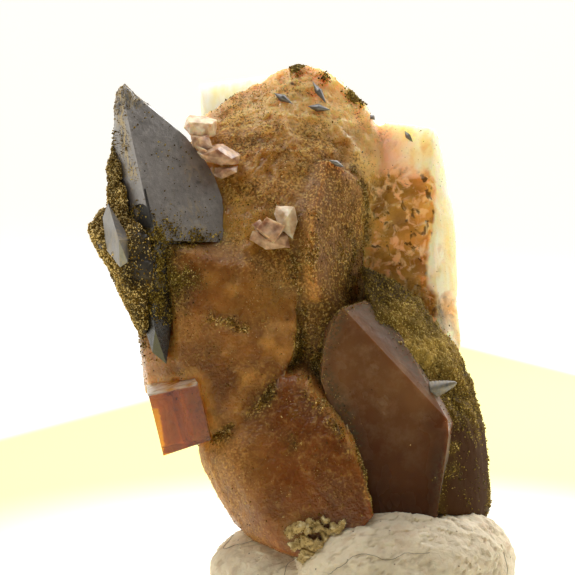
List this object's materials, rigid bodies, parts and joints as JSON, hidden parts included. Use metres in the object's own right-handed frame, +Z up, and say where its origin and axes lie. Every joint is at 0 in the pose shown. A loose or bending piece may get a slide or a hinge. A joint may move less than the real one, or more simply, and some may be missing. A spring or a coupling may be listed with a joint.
{
  "type": "anatase crystal specimen",
  "caption": "Steep grey-blue anatase dipyramid on intergrown smoky quartz with chlorite crusts and carbonate rhombs, standing in a lump of mounting putty.",
  "frame": {"origin": "centre of the flat underside of the mounting putty, where the specimen stands", "axes": "+Z up, along the height of the specimen; +X to the right as the large anatase is seen from the front; +Y away from the front"},
  "size_m": [0.0172, 0.0147, 0.0212],
  "materials": {
    "anatase": "polished",
    "smoky_quartz": "gloss",
    "chlorite": "matte",
    "carbonate": "satin",
    "putty": "matte"
  },
  "bodies": {
    "root": {"anatase_large": "anatase", "anatase_side": "anatase", "anatase_small_right": "anatase", "anatase_small_top_left": "anatase", "anatase_small_top_middle": "anatase", "anatase_small_top_right": "anatase", "smoky_quartz": "smoky_quartz", "chlorite_left": "chlorite", "chlorite_right": "chlorite", "chlorite_foot": "chlorite", "carbonate_upper": "carbonate", "carbonate_lower": "carbonate", "mounting_putty": "putty"}
  },
  "joints": []
}
